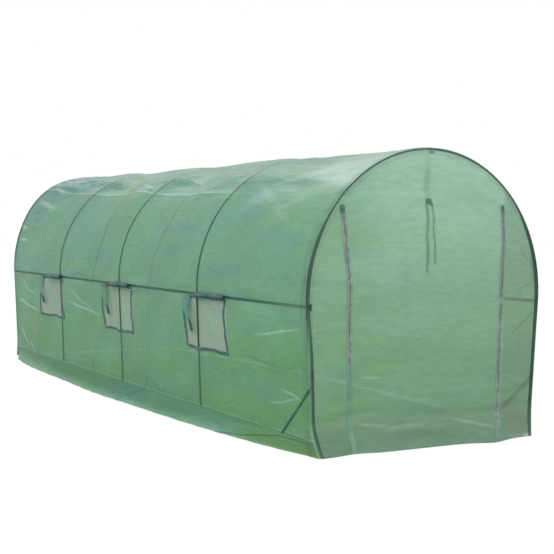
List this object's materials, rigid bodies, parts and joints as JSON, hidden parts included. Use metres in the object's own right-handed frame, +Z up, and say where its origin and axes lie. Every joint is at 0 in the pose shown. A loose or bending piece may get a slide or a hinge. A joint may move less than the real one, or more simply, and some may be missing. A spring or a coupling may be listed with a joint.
{
  "type": "polytunnel greenhouse",
  "caption": "Walk-in tunnel greenhouse: round tube hoops and rails under a translucent woven film cover, with netted side windows and a zipped roll-up door.",
  "frame": {"origin": "on the ground, in the middle of the tunnel's plan", "axes": "+X across to the right seen from the front end, +Y from the front end to the rear, +Z up"},
  "size_m": [2.3438, 6.3334, 2],
  "materials": {
    "frame_tube": "satin dark green powder coat on steel tube",
    "strap": "dark coated steel",
    "cover": "translucent woven film with a soft sheen",
    "net": "fine pale netting",
    "tape": "woven fastening tape",
    "zip": "grey woven zip tape",
    "webbing": "dark green woven ribbon"
  },
  "bodies": {
    "root": {"hoop_arch_1": "frame_tube", "hoop_arch_2": "frame_tube", "hoop_arch_3": "frame_tube", "hoop_arch_4": "frame_tube", "hoop_arch_5": "frame_tube", "hoop_legs_left": "frame_tube", "hoop_legs_right": "frame_tube", "ridge_rail": "frame_tube", "side_rail_left": "frame_tube", "side_rail_right": "frame_tube", "bottom_rail_left": "frame_tube", "bottom_rail_right": "frame_tube", "ridge_straps": "strap", "side_straps": "strap", "bottom_straps": "strap", "corner_braces": "frame_tube", "roof_cover_1": "cover", "roof_cover_2": "cover", "roof_cover_3": "cover", "roof_cover_4": "cover", "roof_cover_5": "cover", "roof_cover_6": "cover", "roof_cover_7": "cover", "roof_cover_8": "cover", "side_cover_left": "cover", "side_cover_right": "cover", "rear_cover": "cover", "front_cover_left": "cover", "front_cover_right": "cover", "front_cover_top": "cover", "door_panel": "cover", "skirt_left": "cover", "skirt_right": "cover", "skirt_front": "cover", "skirt_rear": "cover", "window_nets_left": "net", "window_nets_right": "net", "window_tapes_left": "tape", "window_tapes_right": "tape", "window_rolls_left": "cover", "window_rolls_right": "cover", "door_zips": "zip", "zip_patches": "webbing", "door_tie": "webbing"}
  },
  "joints": []
}
